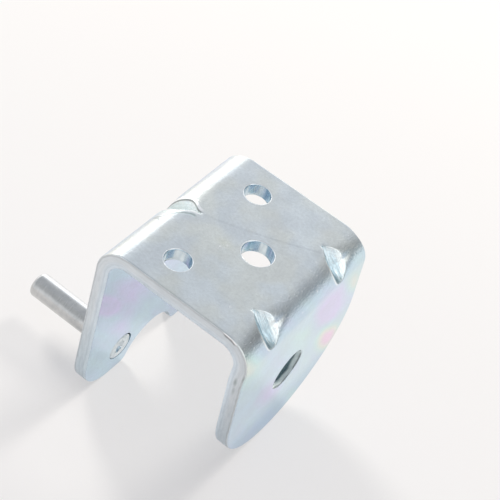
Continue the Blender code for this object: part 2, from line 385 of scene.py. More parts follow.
def cut_edge(roll_width, roll_depth, burr):
    """A punched edge from the outer face to the inner: (inset, depth) of roll, shear and burr."""
    turns = 6
    profile = [(roll_width + EDGE_STRIP, 0.0)]
    for i in range(turns + 1):
        angle = i / turns * math.pi / 2
        inset = roll_width * (1 - math.sin(angle))
        profile.append((inset, roll_depth * (1 - math.cos(angle))))
    profile += [
        (0.0, THICKNESS * SHEAR_END),
        (TEAR_INSET / 2, THICKNESS * TEAR_START),
        (TEAR_INSET, THICKNESS - burr),
        (TEAR_INSET + burr * 0.5, THICKNESS - burr * 0.3),
        (TEAR_INSET + burr, THICKNESS),
        (TEAR_INSET + EDGE_STRIP + burr, THICKNESS),
    ]
    return profile


def pin_seat_edge():
    """The pin's seat through the left leg, as insets from the head's loop: bore, step, recess."""
    head = HEAD_DIAMETER / 2 + SEAT_CLEARANCE
    bore = TENON_DIAMETER / 2 + SEAT_CLEARANCE - head
    floor = THICKNESS - HEAD_THICKNESS - SEAT_CLEARANCE
    return [
        (bore + 0.2 * MM, 0.0),
        (bore + 0.1 * MM, 0.0),
        (bore, 0.1 * MM),
        (bore, floor),
        (0.0, floor),
        (0.0, THICKNESS - SEAT_BEVEL),
        (SEAT_BEVEL / 4, THICKNESS - SEAT_BEVEL / 4),
        (SEAT_BEVEL, THICKNESS),
        (SEAT_BEVEL + EDGE_STRIP, THICKNESS),
    ]


def sheet_loops():
    """Every loop of the blank with its edge profile: the outline, the holes and the pin's seat."""
    left = [(-u, v) for u, v in left_leg_outline()]
    outline = right_leg_outline() + left[::-1]
    small_u = SMALL_HOLE_INSET - WIDTH / 2
    hole_edge = cut_edge(HOLE_ROLL, HOLE_ROLL_DEPTH, HOLE_BURR)
    loops = [(outline, cut_edge(ROLL_WIDTH, ROLL_DEPTH, OUTLINE_BURR))]
    for shift in (-SMALL_HOLE_SPACING / 2, SMALL_HOLE_SPACING / 2):
        centre = (small_u, WEB_LENGTH / 2 + shift)
        loops.append((circle(centre, SMALL_HOLE_DIAMETER), hole_edge))
    large_centre = (WIDTH / 2 - LARGE_HOLE_INSET, WEB_LENGTH / 2)
    loops.append((circle(large_centre, LARGE_HOLE_DIAMETER), hole_edge))
    bore_centre = (along_blank(BORE_DEPTH), BORE_FROM_FRONT)
    loops.append((circle(bore_centre, BORE_DIAMETER), hole_edge))
    pin_centre = (-along_blank(PIN_DEPTH), PIN_FROM_FRONT)
    loops.append((circle(pin_centre, HEAD_DIAMETER + 2 * SEAT_CLEARANCE), pin_seat_edge()))
    return loops


def make_blank():
    """The flat sheet with its outer face up: u runs across the bends and v along them."""
    blank = bmesh.new()
    depth_layer = blank.verts.layers.float.new("sheet_depth")
    rim_layer = blank.verts.layers.float.new("hole_rim_highlight")
    face_edges = {"outer": [], "inner": []}
    for number, (points, profile) in enumerate(sheet_loops()):
        wall_material = HOLE_MATERIAL if number else EDGE_MATERIAL
        rings = []
        for inset, depth in profile:
            ring = []
            for place in offset_loop(points, inset):
                vert = blank.verts.new((place.x, place.y, -depth))
                vert[depth_layer] = depth
                # Marks the rolled rims of the web's holes, which get a painted highlight
                vert[rim_layer] = float(number in WEB_HOLES and 0 < depth < HOLE_ROLL)
                ring.append(vert)
            rings.append(ring)
        wall_end = len(rings) - FACE_RINGS_INSIDE
        for step, (upper, lower) in enumerate(zip(rings, rings[1:])):
            on_wall = FACE_RINGS_OUTSIDE <= step < wall_end
            for i in range(len(upper)):
                face = blank.faces.new((upper[i - 1], lower[i - 1], lower[i], upper[i]))
                face.material_index = wall_material if on_wall else FACE_MATERIAL
        for side, ring in (("outer", rings[0]), ("inner", rings[-1])):
            for i in range(len(ring)):
                face_edges[side].append(blank.edges.get((ring[i - 1], ring[i])))
    for edges in face_edges.values():
        bmesh.ops.triangle_fill(blank, use_beauty=True, edges=edges)
    return blank


def cut(blank, place, across, faces=None):
    """Draws a line over the blank at that place, across u or across v."""
    faces = list(blank.faces) if faces is None else faces
    edges = list({edge for face in faces for edge in face.edges})
    verts = list({vert for face in faces for vert in face.verts})
    point = (place, 0.0, 0.0) if across == "u" else (0.0, place, 0.0)
    normal = (1.0, 0.0, 0.0) if across == "u" else (0.0, 1.0, 0.0)
    bmesh.ops.bisect_plane(
        blank, geom=verts + edges + faces, dist=CUT_TOLERANCE, plane_co=point, plane_no=normal
    )


def cut_bend_lines(blank):
    """Lines along both bends and beside them, close enough to turn them into smooth arcs."""
    end = WEB_HALF + BEND_LENGTH
    places = [WEB_HALF + BEND_LENGTH * i / BEND_SEGMENTS for i in range(BEND_SEGMENTS + 1)]
    for share in BESIDE_BEND:
        places += [WEB_HALF - GUSSET_MARGIN * share, end + GUSSET_MARGIN * share]
    for side in (LEFT, RIGHT):
        for place in places:
            cut(blank, side * place, "u")


def cut_gusset_lines(blank, side, middle):
    """Lines across one bend where a gusset is pressed into it."""
    for row in GUSSET_ROWS:
        for sign in (-1, 1):
            faces = []
            for face in blank.faces:
                u = face.calc_center_bounds().x * side
                if WEB_HALF - GUSSET_MARGIN < u < WEB_HALF + BEND_LENGTH + GUSSET_MARGIN:
                    faces.append(face)
            cut(blank, middle + sign * row * GUSSET_HALF_WIDTH, "v", faces)
            if row == 0.0:
                break


def profile_point(distance, inset):
    """A point of the U at that distance along the blank, that deep under its outer face."""
    if distance <= WEB_HALF:
        return distance, -inset
    if distance < WEB_HALF + BEND_LENGTH:
        angle = (distance - WEB_HALF) / NEUTRAL_RADIUS
        radius = OUTER_BEND_RADIUS - inset
        return WEB_HALF + radius * math.sin(angle), radius * math.cos(angle) - OUTER_BEND_RADIUS
    return WIDTH / 2 - inset, WEB_HALF + BEND_LENGTH - OUTER_BEND_RADIUS - distance


def line_depth(distance, web_arm, leg_arm):
    """How deep a gusset's straight bottom line lies under the outer face at that place."""
    x, z = profile_point(distance, 0.0)
    share = 1 - (WIDTH / 2 - x) / web_arm + z / leg_arm
    return share * web_arm * leg_arm / math.hypot(web_arm, leg_arm)


def press(side, distance, v):
    """Where a gusset moves a place on the blank: its new v and its moves along x and z. Then how far
    down the groove it lies, how far outside the groove's rim in millimetres, and on which side of
    the groove, less than 0 to the front."""
    widest = GUSSET_ROWS[-1] * GUSSET_HALF_WIDTH
    for gusset_side, middle, web_arm, leg_arm in GUSSETS:
        if gusset_side != side or abs(v - middle) > widest:
            continue
        row = abs(v - middle) / GUSSET_HALF_WIDTH
        deepest = line_depth(WEB_HALF + BEND_LENGTH / 2, web_arm, leg_arm)
        share = max(line_depth(distance, web_arm, leg_arm) / deepest, 0.0)
        drawn_share = share**DRAW_IN_POWER
        along = min(max((distance - WEB_HALF) / BEND_LENGTH, 0.0), 1.0)
        share = 1 - (1 - min(share, 1.0)) ** (1.0 + FULLER_ON_LEG * along)
        taper = TAPER_ON_WEB + (TAPER_ON_LEG - TAPER_ON_WEB) * along
        half = GUSSET_HALF_WIDTH * max(share**taper, TIP_WIDTH)
        if row <= 1:
            aside = row * half
        else:
            aside = half + (row - 1) / (GUSSET_ROWS[-1] - 1) * (widest - half)
        rounded = math.hypot(aside, GUSSET_ROUNDING) - GUSSET_ROUNDING
        edge = math.hypot(half, GUSSET_ROUNDING) - GUSSET_ROUNDING
        groove = deepest * share * (1 - rounded / edge)
        groove = (groove + math.hypot(groove, GUSSET_LIP)) / 2 * min(share * LIP_ONSET, 1.0)
        beside = max(aside - half, 0.0)
        draw_depth, draw_width = DRAW_IN[v > middle]
        rear_depth = DRAW_IN[1][0]
        if side == RIGHT:
            rear_depth *= min(along / REAR_DRAW_IN_FULL, 1.0) ** REAR_DRAW_IN_POWER
        if v > middle:
            draw_depth = rear_depth
        drawn_in = draw_depth * drawn_share * max(1 - beside / draw_width, 0.0) ** 2
        if v <= middle:
            drawn_in += (rear_depth - draw_depth) * drawn_share * max(1 - aside / half, 0.0)
        depth = groove + drawn_in
        arms = math.hypot(web_arm, leg_arm)
        zone_end = min(distance - WEB_HALF, WEB_HALF + BEND_LENGTH - distance) + GUSSET_MARGIN
        ease = min(max(zone_end / EASE_LENGTH, 0.0), 1.0)
        lean = GUSSET_LEAN * along if side == RIGHT else 0.0
        new_v = v + (middle + lean + math.copysign(aside, v - middle) - v) * ease
        move_x = -depth * leg_arm / arms
        move_z = -depth * web_arm / arms
        if side == RIGHT and v > middle:
            angle = CREASE_START + (CREASE_END - CREASE_START) * min(beside / CREASE_LENGTH, 1.0)
            away = distance - WEB_HALF - NEUTRAL_RADIUS * angle
            fade = min(1.0, (widest - aside) / CREASE_FADE)
            crease = CREASE_DEPTH * math.exp(-((away / CREASE_WIDTH) ** 2)) * fade
            crease *= math.exp(-((beside / CREASE_REACH) ** 2))
            crease *= min(aside / half, 1.0) ** CREASE_ONSET
            move_x -= crease * math.sin(angle)
            move_z -= crease * math.cos(angle)
        pressed = min(groove / PRESSED_DEPTH, 1.0)
        rim_side = math.copysign(min(share * RIM_ONSET, 1.0), v - middle)
        return new_v, move_x, move_z, pressed, (aside - half) / MM, rim_side
    return v, 0.0, 0.0, 0.0, 0.0, 0.0


def fold(blank):
    """Bends the flat sheet into the U, and presses its gussets in."""
    pressed = blank.verts.layers.float.new("pressed")
    rim_distance = blank.verts.layers.float.new("rim_distance")
    rim_side = blank.verts.layers.float.new("rim_side")
    margin = GUSSET_MARGIN * 0.99
    zone_start = WEB_HALF - margin
    zone_end = WEB_HALF + BEND_LENGTH + margin
    for vert in blank.verts:
        u, v, height = vert.co
        side = RIGHT if u > 0 else LEFT
        x, z = profile_point(abs(u), -height)
        if zone_start < abs(u) < zone_end:
            v, move_x, move_z, *marks = press(side, abs(u), v)
            vert[pressed], vert[rim_distance], vert[rim_side] = marks
            x += move_x
            z += move_z
        vert.co = (WEB_CENTRE_X + side * x, FRONT_Y + v, z)


def finish_mesh(name, solid, materials, sharp_angle):
    """Turns a bmesh into a smooth-shaded object that rides on the row's body."""
    bmesh.ops.recalc_face_normals(solid, faces=solid.faces)
    mesh = bpy.data.meshes.new(name)
    solid.to_mesh(mesh)
    solid.free()
    mesh.shade_smooth()
    mesh.set_sharp_from_angle(angle=sharp_angle)
    for material in materials:
        mesh.materials.append(material)
    obj = bpy.data.objects.new(name, mesh)
    bpy.context.scene.collection.objects.link(obj)
    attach(obj, "root")
    return obj


def make_bracket(materials):
    """The folded sheet, with rolled edges and pressed gussets."""
    blank = make_blank()
    cut_bend_lines(blank)
    for side, middle, *_ in GUSSETS:
        cut_gusset_lines(blank, side, middle)
    bmesh.ops.triangulate(blank, faces=blank.faces)
    fold(blank)
    bracket = finish_mesh("bracket_sheet", blank, materials, math.radians(40))
    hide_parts("bracket")


def pin_profile():
    """Half the pin's outline, as (x, radius) from its free end to its head's rim."""
    shank = PIN_DIAMETER / 2
    tenon = TENON_DIAMETER / 2
    head = HEAD_DIAMETER / 2
    end_centre = (-PIN_REACH + PIN_END_ROUNDING, shank - PIN_END_ROUNDING)
    bevel_length, bevel_depth = SHOULDER_BEVEL
    profile = [(-PIN_REACH, radius) for radius in PIN_END_RINGS]
    profile += arc(end_centre, PIN_END_ROUNDING, math.pi, math.pi / 2)
    profile += [
        (-SUPPORT_REACH - SHOULDER_GAP, shank),
        (-bevel_length - SHOULDER_GAP, shank),
        (-SHOULDER_GAP, shank - bevel_depth),
        (-SHOULDER_GAP, tenon),
        (THICKNESS - HEAD_THICKNESS, tenon),
        (THICKNESS - HEAD_THICKNESS, head),
        (THICKNESS - SUPPORT_REACH, head),
        (THICKNESS - 0.4 * HEAD_BEVEL, head - HEAD_BEVEL / 6),
        (THICKNESS, head - HEAD_BEVEL),
    ]
    return profile


def punched_face(radius, angle):
    """How deep the riveted head's face lies at that place: a ragged punch mark in its middle."""
    ragged = noise.noise(Vector((math.cos(angle), math.sin(angle), 0.4)) * 1.3)
    mark_radius = PUNCH_RADIUS + PUNCH_RAGGEDNESS * ragged
    inside = max(0.0, 1 - (radius / mark_radius) ** 3)
    around = math.exp(-(((radius - mark_radius) / PUNCH_RIM_WIDTH) ** 2))
    place = Vector((radius * math.cos(angle), radius * math.sin(angle), 0.0)) / MM
    grain = PUNCH_GRAIN * inside * noise.noise(place * 2)
    return PUNCH_DEPTH * inside**0.7 - PUNCH_RIM_HEIGHT * around + grain


def make_pin(material):
    """The hinge pin: a turned shank with a rounded end, and a riveted head with a punch mark."""
    sides = 96
    solid = bmesh.new()
    axis_y = FRONT_Y + PIN_FROM_FRONT
    left_x = WEB_CENTRE_X - WIDTH / 2
    rings = []

    def add_ring(x, radius, shape=None):
        ring = []
        shift = HEAD_SHIFT if x >= THICKNESS - HEAD_THICKNESS else 0.0
        for i in range(sides):
            angle = math.tau * i / sides
            depth = shape(radius, angle) if shape else 0.0
            y = axis_y - shift + radius * math.cos(angle)
            z = -PIN_DEPTH - shift / 2 + radius * math.sin(angle)
            ring.append(solid.verts.new((left_x + x - depth, y, z)))
        rings.append(ring)

    for x, radius in pin_profile():
        add_ring(x, radius)
    face_rings = 18
    face_radius = HEAD_DIAMETER / 2 - HEAD_BEVEL
    for i in range(1, face_rings):
        add_ring(THICKNESS, face_radius * (1 - i / face_rings), punched_face)
    for first, second in zip(rings, rings[1:]):
        for i in range(sides):
            solid.faces.new((first[i - 1], first[i], second[i], second[i - 1]))
    solid.faces.new(rings[0])
    centre_x = left_x + THICKNESS - punched_face(0.0, 0.0)
    centre = solid.verts.new((centre_x, axis_y - HEAD_SHIFT, -PIN_DEPTH - HEAD_SHIFT / 2))
    for i in range(sides):
        solid.faces.new((rings[-1][i - 1], rings[-1][i], centre))
    pin = finish_mesh("pin_turned", solid, [material], math.radians(35))
    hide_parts("hinge_pin")


class Shader:
    """Builds one material's or world's nodes: each method adds a node and gives its output."""

    def __init__(self, tree):
        self.tree = tree

    def feed(self, node, inputs):
        """Links or sets a node's inputs."""
        for key, value in inputs.items():
            if isinstance(value, bpy.types.NodeSocket):
                self.tree.links.new(value, node.inputs[key])
            else:
                node.inputs[key].default_value = value

    def add(self, kind, inputs=None, **settings):
        made = self.tree.nodes.new(kind)
        for name, value in settings.items():
            setattr(made, name, value)
        self.feed(made, inputs or {})
        return made

    def coordinates(self, kind):
        return self.add("ShaderNodeTexCoord").outputs[kind]

    def attribute(self, name):
        return self.add("ShaderNodeAttribute", attribute_name=name).outputs["Fac"]

    def math(self, operation, first, second=0.0, third=0.0, clamp=False):
        inputs = {0: first, 1: second, 2: third}
        made = self.add("ShaderNodeMath", inputs, operation=operation, use_clamp=clamp)
        return made.outputs[0]

    def times(self, first, second):
        return self.math("MULTIPLY", first, second)

    def vector(self, operation, first, second=(0.0, 0.0, 0.0)):
        made = self.add("ShaderNodeVectorMath", {0: first, 1: second}, operation=operation)
        return made.outputs["Value" if operation in ("DOT_PRODUCT", "LENGTH") else "Vector"]

    def dot(self, first, second):
        return self.vector("DOT_PRODUCT", first, second)

    def scaled(self, vector, factors):
        return self.vector("MULTIPLY", vector, factors)

    def noise(self, vector, scale, detail, roughness):
        inputs = {"Vector": vector, "Scale": scale, "Detail": detail, "Roughness": roughness}
        return self.add("ShaderNodeTexNoise", inputs).outputs["Fac"]

    def range(self, value, low, high, new_low=0.0, new_high=1.0, smooth=True):
        inputs = {0: value, 1: low, 2: high, 3: new_low, 4: new_high}
        kind = "SMOOTHSTEP" if smooth else "LINEAR"
        made = self.add("ShaderNodeMapRange", inputs, interpolation_type=kind)
        return made.outputs[0]

    def mix(self, factor, first, second, blend="MIX"):
        inputs = {0: factor, 6: first, 7: second}
        made = self.add("ShaderNodeMix", inputs, data_type="RGBA", blend_type=blend)
        return made.outputs[2]

    def ramp(self, value, stops):
        made = self.add("ShaderNodeValToRGB", {0: value})
        elements = made.color_ramp.elements
        while len(elements) < len(stops):
            elements.new(0.5)
        for element, (position, colour) in zip(elements, stops):
            element.position = position
            element.color = (*colour, 1.0)
        return made.outputs["Color"]

    def bump(self, height, distance, normal=None):
        inputs = {"Height": height, "Distance": distance, "Strength": 1.0}
        if normal is not None:
            inputs["Normal"] = normal
        return self.add("ShaderNodeBump", inputs).outputs["Normal"]


def new_metal(name):
    """A metal material, with the node builder and the surface shader that its nodes feed."""
    material = bpy.data.materials.new(name)
    material.use_nodes = True
    shader = Shader(material.node_tree)
    surface = material.node_tree.nodes["Principled BSDF"]
    shader.feed(surface, {"Metallic": 1.0})
    return material, shader, surface


def mm_coordinates(shader):
    """Object coordinates in millimetres."""
    return shader.scaled(shader.coordinates("Object"), (1000.0, 1000.0, 1000.0))


def glow(shader, place, centre, radii):
    """A soft spot: 1 at its centre and 0 past its radii, all in millimetres."""
    away = shader.vector("SUBTRACT", place, centre)
    away = shader.vector("DIVIDE", away, radii)
    return shader.range(shader.vector("LENGTH", away), 1.0, 0.0)


def film(shader, place):
    """The film's colour at that place."""
    slant = Matrix.Rotation(-FILM_SLANT, 3, "X")
    turn = shader.add("ShaderNodeVectorRotate", {"Vector": place, "Angle": -FILM_SLANT},
                      rotation_type="X_AXIS")
    slanted = turn.outputs["Vector"]
    drift = shader.noise(shader.scaled(slanted, (1.0, 1.0, 0.35)), 0.16, 2.0, 0.5)
    thickness = shader.math("MULTIPLY_ADD", drift, FILM_DRIFT, FILM_THICKNESS)
    for centre, (along, across), change in FILM_PATCHES:
        radii = (FILM_PATCH_DEPTH, along, across)
        spot = glow(shader, slanted, slant @ Vector(centre), radii)
        thickness = shader.math("MULTIPLY_ADD", spot, change, thickness)
    return shader.ramp(thickness, FILM_COLOURS)


def soft_line(shader, value, middle, half_width, strength):
    """A line with soft edges where the value is near the middle."""
    away = shader.math("ABSOLUTE", shader.math("SUBTRACT", value, middle))
    return shader.range(away, half_width, half_width / 3, 0.0, strength)


def groove_colour(shader, streak, up, right, left):
    """The gussets' grooves: streaked down their walls, with a painted highlight at the top, and
    painted shade at the lower tips of the right ones."""
    groove = shader.ramp(streak, (
        (0.34, (0.50, 0.63, 0.70)),
        (0.46, (0.64, 0.77, 0.82)),
        (0.56, (0.60, 0.73, 0.78)),
        (0.68, (0.86, 0.93, 0.96)),
    ))
    left_groove = shader.ramp(streak, ((0.34, (0.70, 0.80, 0.80)), (0.66, (0.86, 0.97, 0.96))))
    groove = shader.mix(left, groove, left_groove)
    # Painted highlight at the top of the grooves
    top_highlight = shader.range(up, -3.5, -0.6, 0.0, 0.7)
    groove = shader.mix(top_highlight, groove, (0.88, 0.97, 1.0, 1.0))
    # Painted shade at the lower tips of the right grooves
    tip_shade = shader.times(shader.range(up, -4.5, -5.8, 0.0, 0.65), right)
    return shader.mix(tip_shade, groove, (0.38, 0.48, 0.49, 1.0))


def rim_shade_and_highlights(shader, colour, up, right, left):
    """The colour with painted shade and painted highlight lines along the gussets' rims."""
    rim_distance = shader.attribute("rim_distance")
    rim_side = shader.attribute("rim_side")
    front = shader.range(rim_side, -0.3, -0.9)
    rear = shader.range(rim_side, 0.3, 0.9)
    halfway = shader.times(right, shader.range(up, -1.6, -3.2))
    low = shader.times(right, shader.range(up, -3.6, -5.0))
    flare = shader.times(shader.range(up, -0.9, -1.9), shader.range(up, -5.4, -4.0))
    flare = shader.times(flare, right)
    left_top = shader.times(left, shader.range(up, -2.6, -1.6))
    diverging = shader.range(up, -0.05, -1.3, 1.1, 3.4)
    # Each painted line of shade or highlight: its side of the groove and its stretch there, how far
    # outside the rim it runs, half its width, its strength and its colour
    lines = (
        (front, right, -0.10, 0.22, 0.85, (0.25, 0.34, 0.38, 1.0)),
        (front, halfway, 0.32, 0.26, 0.75, (0.94, 0.98, 1.0, 1.0)),
        (rear, flare, -0.30, 0.75, 0.80, (0.95, 1.0, 0.99, 1.0)),
        (rear, low, 0.0, 0.22, 0.60, (0.36, 0.45, 0.48, 1.0)),
        (rear, left, 0.0, 0.20, 0.85, (0.25, 0.27, 0.27, 1.0)),
        (rear, left, 0.55, 0.42, 0.85, (1.0, 1.0, 1.0, 1.0)),
        (front, left, 0.15, 0.65, 0.90, (0.98, 1.0, 1.0, 1.0)),
        (front, left, 1.20, 0.60, 0.60, (0.82, 0.95, 0.93, 1.0)),
        (front, left_top, diverging, 0.35, 0.65, (0.36, 0.40, 0.40, 1.0)),
    )
    for side, stretch, middle, half_width, strength, tone in lines:
        line = soft_line(shader, rim_distance, middle, half_width, strength)
        line = shader.times(line, shader.times(side, stretch))
        colour = shader.mix(line, colour, tone)
    return colour


def face_relief(shader, place, sideways, on_bend, pressed, streak):
    """The faces' relief: fine grain and scratches, slight ripples, scuffs on the bends, streaks in
    the gussets and a faint crease across the web."""
    scratch = shader.noise(shader.scaled(place, (0.3, 5.0, 1.0)), 1.2, 3.0, 0.6)
    grain = shader.noise(place, 4.0, 3.0, 0.6)
    relief = shader.bump(shader.math("MULTIPLY_ADD", scratch, 0.5, grain), GRAIN_RELIEF)
    ripple = shader.noise(place, 0.55, 2.0, 0.5)
    relief = shader.bump(ripple, RIPPLE_RELIEF, relief)
    scuff = shader.noise(shader.scaled(place, (1.6, 0.8, 1.6)), 1.5, 4.0, 0.7)
    relief = shader.bump(shader.times(scuff, on_bend), SCUFF_RELIEF, relief)
    streak = shader.times(shader.math("SUBTRACT", streak, 0.5), pressed)
    relief = shader.bump(streak, STREAK_RELIEF, relief)
    x, y, _ = shader.add("ShaderNodeSeparateXYZ", {0: place}).outputs
    slope = shader.math("MULTIPLY_ADD", x, WEB_CREASE_BOW, WEB_CREASE_SLOPE)
    crease_y = shader.math("MULTIPLY_ADD", slope, x, WEB_CREASE_START)
    past = shader.math("SUBTRACT", y, crease_y)
    step = shader.times(shader.range(past, -0.5, 0.25), shader.range(sideways, 0.3, 0.1))
    return shader.bump(step, WEB_CREASE_RELIEF, relief)


def zinc_face():
    """Zinc plating on the sheet's faces: a thin film with pale colours, mottling and scratches,
    with painted shade low on the right leg, painted highlights on the web holes' rims, and painted
    light and shade in and beside the gussets.
    """
    material, shader, surface = new_metal("zinc_face")
    place = mm_coordinates(shader)
    up = shader.dot(place, UPWARD)
    right = shader.math("GREATER_THAN", shader.dot(place, RIGHTWARD), RIGHT_HALF_X)
    left = shader.math("SUBTRACT", 1.0, right)
    sideways = shader.math("ABSOLUTE", shader.dot(shader.coordinates("Normal"), RIGHTWARD))
    on_leg = shader.range(sideways, 0.6, 0.9, 0.06, 0.95)
    on_bend = shader.times(shader.range(sideways, 0.12, 0.35), shader.range(sideways, 0.99, 0.9))
    pressed = shader.attribute("pressed")
    streak = shader.noise(shader.scaled(place, (0.16, 1.5, 0.16)), 1.0, 3.0, 0.6)

    # The film, the grooves with their painted highlight and shade, and the painted shade and
    # highlight lines on the rims
    tint = shader.range(shader.noise(place, 0.11, 2.0, 0.5), 0.38, 0.62)
    web_colour = shader.mix(tint, (0.755, 0.795, 0.815, 1.0), (0.785, 0.80, 0.765, 1.0))
    colour = shader.mix(on_leg, web_colour, film(shader, place))
    # Painted shade: darker and bluer low on the right leg
    painted_low_shade = shader.times(right, shader.range(up, -30.0, -42.0))
    colour = shader.mix(painted_low_shade, colour, (0.64, 0.74, 0.82, 1.0), "MULTIPLY")
    colour = shader.mix(pressed, colour, groove_colour(shader, streak, up, right, left))
    # Painted highlight on the rolled rims of the web's holes
    hole_rim_highlight = shader.times(shader.attribute("hole_rim_highlight"), 0.9)
    colour = shader.mix(hole_rim_highlight, colour, (0.98, 0.99, 1.0, 1.0))
    colour = rim_shade_and_highlights(shader, colour, up, right, left)

    # A spot of painted darker reflection, a stained spot, mottling and bright specks
    # Painted darker reflection in the right bend
    dark_reflection = shader.times(glow(shader, place, *DARK_REFLECTION_SPOT), 0.6)
    colour = shader.mix(dark_reflection, colour, (0.58, 0.59, 0.61, 1.0), "MULTIPLY")
    smudge = shader.times(glow(shader, place, *SMUDGE), 0.6)
    colour = shader.mix(smudge, colour, (0.80, 0.81, 0.72, 1.0))
    cloud = shader.noise(place, 0.16, 4.0, 0.55)
    shade = shader.range(cloud, 0.3, 0.7, 0.95, 1.04)
    mottle = shader.range(shader.noise(place, 1.6, 4.0, 0.7), 0.3, 0.7, 0.955, 1.04)
    shade = shader.times(shade, mottle)
    grey = shader.add("ShaderNodeCombineColor", {0: shade, 1: shade, 2: shade}).outputs[0]
    colour = shader.mix(1.0, colour, grey, "MULTIPLY")
    fine = shader.noise(place, 1.9, 4.0, 0.7)
    speck = shader.range(shader.math("MULTIPLY_ADD", on_bend, 0.05, fine), 0.665, 0.745)
    for centre in BRIGHT_SPECKS:
        spot = glow(shader, place, centre, SPECK_RADII)
        speck = shader.math("ADD", speck, spot, clamp=True)
    colour = shader.mix(shader.times(speck, 0.8), colour, (0.97, 0.98, 0.97, 1.0))

    rough = shader.range(cloud, 0.3, 0.7, 0.17, 0.24)
    shader.feed(surface, {
        "Base Color": colour,
        "Roughness": shader.math("MULTIPLY_ADD", speck, 0.15, rough),
        "Normal": face_relief(shader, place, sideways, on_bend, pressed, streak),
    })
    return material


def sheet_depth(shader):
    """How deep a place on a cut edge lies under the sheet's outer face, in millimetres."""
    return shader.times(shader.attribute("sheet_depth"), 1000.0)


def zinc_hole():
    """Zinc plating in the holes: bluer, and lined down the punched walls. The bore has painted light
    and shade: a dark line at its roll, a pale strip of painted light beside the leg's outer face,
    made less metallic, which ends near its top, and painted shade further in."""
    material, shader, surface = new_metal("zinc_hole")
    place = mm_coordinates(shader)
    lines = shader.noise(shader.scaled(place, (1.0, 1.0, 0.12)), 0.8, 2.0, 0.5)
    colour = shader.ramp(lines, (
        (0.34, (0.40, 0.56, 0.67)),
        (0.50, (0.62, 0.73, 0.79)),
        (0.66, (0.78, 0.87, 0.90)),
    ))
    in_bore = shader.math("GREATER_THAN", shader.dot(place, RIGHTWARD), BORE_WALL_X)
    wander = shader.math("MULTIPLY_ADD", shader.noise(place, 0.35, 2.0, 0.5), 0.8, -0.4)
    depth = shader.math("ADD", sheet_depth(shader), wander)
    strip_end = shader.range(shader.dot(place, UPWARD), -23.5, -20.5, 0.0, 1.5)
    depth = shader.math("ADD", depth, strip_end)
    # Painted light and shade down the bore: a dark line at the roll, a pale lit strip, then dark
    bore_light_and_shade = shader.ramp(shader.range(depth, 0.0, 3.0, smooth=False), (
        (0.06, (0.22, 0.26, 0.26)),
        (0.15, (0.92, 1.0, 0.98)),
        (0.30, (0.88, 0.98, 0.95)),
        (0.42, (0.14, 0.21, 0.23)),
        (1.0, (0.20, 0.28, 0.30)),
    ))
    # The strip of painted light is made less metallic
    painted_light_strip = shader.times(in_bore, shader.range(depth, 1.5, 1.1))
    shader.feed(surface, {
        "Base Color": shader.mix(in_bore, colour, bore_light_and_shade),
        "Metallic": shader.math("SUBTRACT", 1.0, painted_light_strip),
        "Roughness": shader.range(lines, 0.3, 0.7, 0.34, 0.2),
        "Normal": shader.bump(lines, HOLE_LINE_RELIEF),
    })
    return material


def zinc_edge():
    """Zinc plating over the sheared edges: streaks along them, thin darker lines where the roll ends
    and where the tear begins, and painted shade, darker and bluer, low on the legs. The front edge
    has a few stains, and a painted glint with a painted dark line of shade under it."""
    material, shader, surface = new_metal("zinc_edge")
    place = mm_coordinates(shader)
    wander = shader.math("MULTIPLY_ADD", shader.noise(place, 0.7, 3.0, 0.6), 0.5, -0.25)
    depth = shader.math("ADD", sheet_depth(shader), wander)
    drawn = shader.add("ShaderNodeCombineXYZ", {
        0: shader.times(depth, 2.0),
        1: shader.dot(place, (0.35, 0.35, 0.0)),
        2: shader.dot(place, (0.0, 0.0, 0.35)),
    }).outputs[0]
    streak = shader.noise(drawn, 1.0, 4.0, 0.65)
    upper = shader.ramp(streak, ((0.3, (0.65, 0.70, 0.73)), (0.7, (0.79, 0.83, 0.86))))
    lower = shader.ramp(streak, ((0.3, (0.72, 0.80, 0.87)), (0.7, (0.84, 0.92, 0.98))))
    colour = shader.mix(shader.range(depth, 1.2, 2.6), upper, lower)
    # Painted shade: darker and bluer low on the legs
    painted_low_shade = shader.range(shader.dot(place, UPWARD), -14.0, -38.0, 0.0, 0.8)
    low_shade_colour = shader.ramp(streak, ((0.3, (0.52, 0.61, 0.67)), (0.7, (0.66, 0.75, 0.80))))
    colour = shader.mix(painted_low_shade, colour, low_shade_colour)
    roll_end = soft_line(shader, depth, 0.30, 0.26, 0.38)
    colour = shader.mix(roll_end, colour, (0.38, 0.39, 0.39, 1.0))
    tear_start = soft_line(shader, depth, 2.2, 0.3, 0.16)
    colour = shader.mix(tear_start, colour, (0.42, 0.46, 0.48, 1.0))

    for centre, radii in EDGE_STAINS:
        stain = shader.times(glow(shader, place, centre, radii), 0.75)
        colour = shader.mix(stain, colour, (0.34, 0.39, 0.39, 1.0))
    # A painted glint on the front edge, with a painted dark line of shade under it
    glint_spot = shader.range(glow(shader, place, *EDGE_GLINT_SPOT), 0.0, 0.4)
    painted_shade_under_glint = shader.times(soft_line(shader, depth, 0.58, 0.32, 0.75), glint_spot)
    colour = shader.mix(painted_shade_under_glint, colour, (0.24, 0.23, 0.23, 1.0))
    painted_glint = shader.times(soft_line(shader, depth, 0.05, 0.45, 1.0), glint_spot)
    colour = shader.mix(painted_glint, colour, (1.0, 1.0, 1.0, 1.0))

    grain = shader.noise(place, 3.5, 4.0, 0.7)
    shader.feed(surface, {
        "Base Color": colour,
        "Roughness": shader.range(depth, 1.8, 2.2, 0.3, 0.4),
        "Normal": shader.bump(grain, EDGE_RELIEF),
    })
    return material


